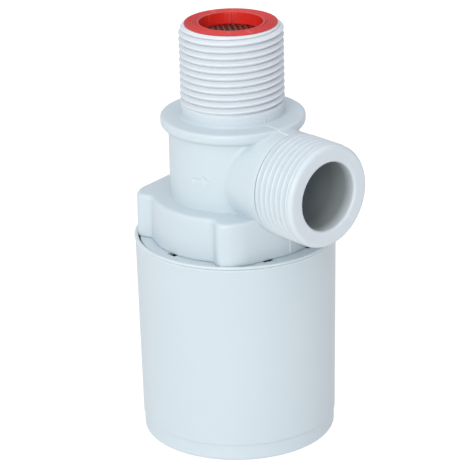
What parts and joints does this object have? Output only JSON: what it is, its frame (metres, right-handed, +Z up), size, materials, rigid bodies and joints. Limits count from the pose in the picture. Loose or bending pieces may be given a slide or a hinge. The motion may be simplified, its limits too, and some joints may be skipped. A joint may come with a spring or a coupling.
{
  "type": "float valve",
  "caption": "Pilot-operated float valve: threaded inlet on top, threaded side outlet, round float below that lifts a pilot lever to shut a spring-loaded piston.",
  "frame": {"origin": "on the main axis, at the underside of the float, with the float raised and the valve shut", "axes": "+Z up along the main axis towards the inlet, +X along the side outlet"},
  "size_m": [0.0607, 0.052, 0.1094],
  "materials": {
    "white_plastic": "moulded white plastic, satin gloss",
    "red_washer": "red moulded elastomer with fine sealing ridges",
    "steel_mesh": "woven stainless wire",
    "grey_plastic": "moulded engineering plastic, satin",
    "black_rubber": "smooth black rubber",
    "brass": "turned brass",
    "steel": "stainless steel, bright"
  },
  "bodies": {
    "valve": {"valve_body": "white_plastic", "strainer_washer": "red_washer", "strainer_mesh": "steel_mesh", "pilot_cover": "grey_plastic", "cover_gasket": "black_rubber", "pilot_nozzle": "brass", "piston_spring": "steel", "lever_pin": "steel", "lever_pin_clip": "steel"},
    "piston": {"piston": "grey_plastic", "piston_seal": "black_rubber", "seat_disc": "black_rubber", "bleed_plug": "brass"},
    "lever": {"pilot_lever": "grey_plastic", "pilot_pad": "black_rubber", "drive_pin": "steel"},
    "float": {"float_shell": "white_plastic", "float_base": "white_plastic", "float_lid": "white_plastic", "float_yoke": "grey_plastic", "yoke_screw": "steel"}
  },
  "joints": [
    {"name": "float_slide", "type": "slide", "parent": "valve", "child": "float", "axis": [0, 0, -1], "range_m": [0, 0.006]},
    {"name": "lever_swing", "type": "hinge", "parent": "valve", "child": "lever", "pos_m": [-0.006, 0, 0.0424], "axis": [0, 1, 0], "range_deg": [0, 22.95]},
    {"name": "piston_lift", "type": "slide", "parent": "valve", "child": "piston", "axis": [0, 0, -1], "range_m": [0, 0.0035], "deforming": ["piston_spring"]}
  ],
  "couplings": [
    {"joint": "lever_swing", "follows": "float_slide", "rad_per_m": 66.667}
  ]
}
